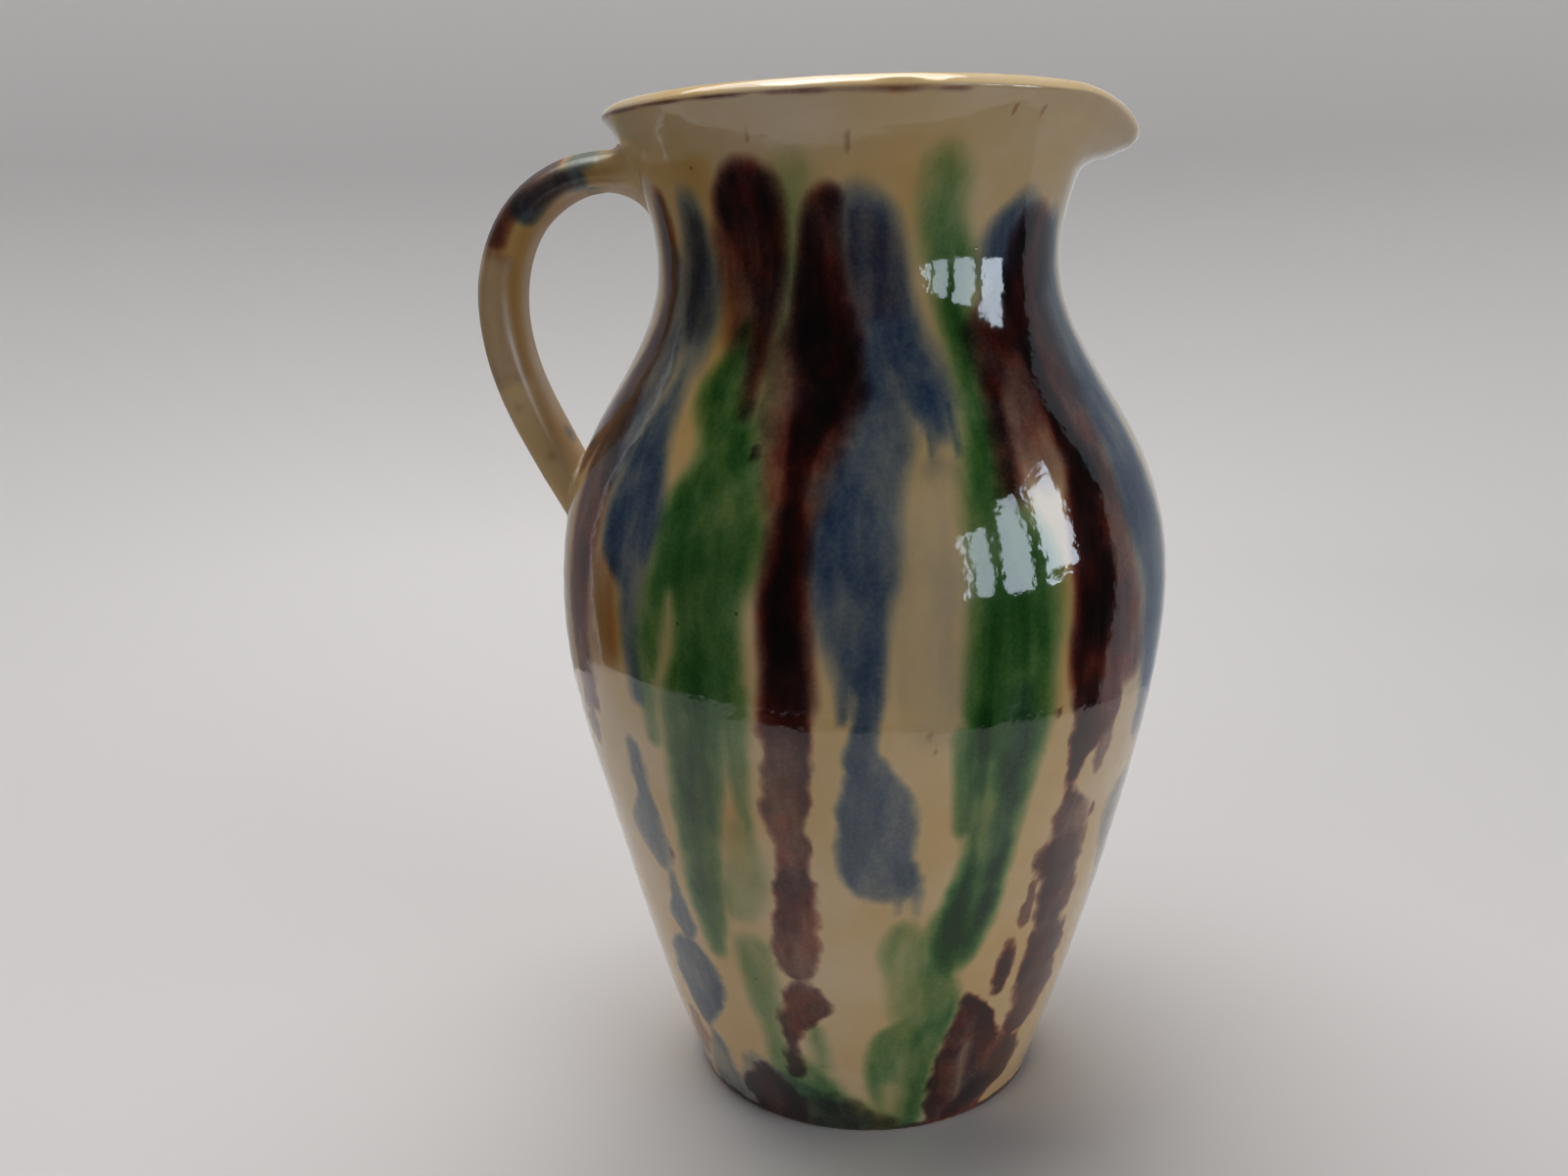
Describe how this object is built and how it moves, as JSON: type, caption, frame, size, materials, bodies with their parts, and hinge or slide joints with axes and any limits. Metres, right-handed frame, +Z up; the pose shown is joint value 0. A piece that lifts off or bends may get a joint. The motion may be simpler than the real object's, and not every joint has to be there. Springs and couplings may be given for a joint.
{
  "type": "ceramic pitcher",
  "caption": "Tall glazed earthenware pitcher: swelling belly, narrow neck, flared rim, pulled pouring lip and a strap handle luted on at neck and shoulder, streaked brown, green and blue.",
  "frame": {"origin": "centre of the flat foot, on the surface that the pitcher stands on", "axes": "+Z up along the thrown axis, +X towards the pouring lip, -X towards the handle; the XZ plane is the plane of symmetry"},
  "size_m": [0.206, 0.1836, 0.3],
  "materials": {
    "streaked_glaze": "high-gloss clear lead glaze over a buff clay body, with brown, copper-green and cobalt-blue oxide streaks running down from the neck",
    "handle_glaze": "high-gloss honey-coloured lead glaze over buff clay, with a brown and blue patch on the upper bend",
    "joint_glaze": "high-gloss honey-coloured lead glaze, pooled a little darker in the corners of the joints"
  },
  "bodies": {
    "root": {"thrown_body": "streaked_glaze", "handle": "handle_glaze", "upper_lute": "joint_glaze", "lower_lute": "joint_glaze"}
  },
  "joints": []
}
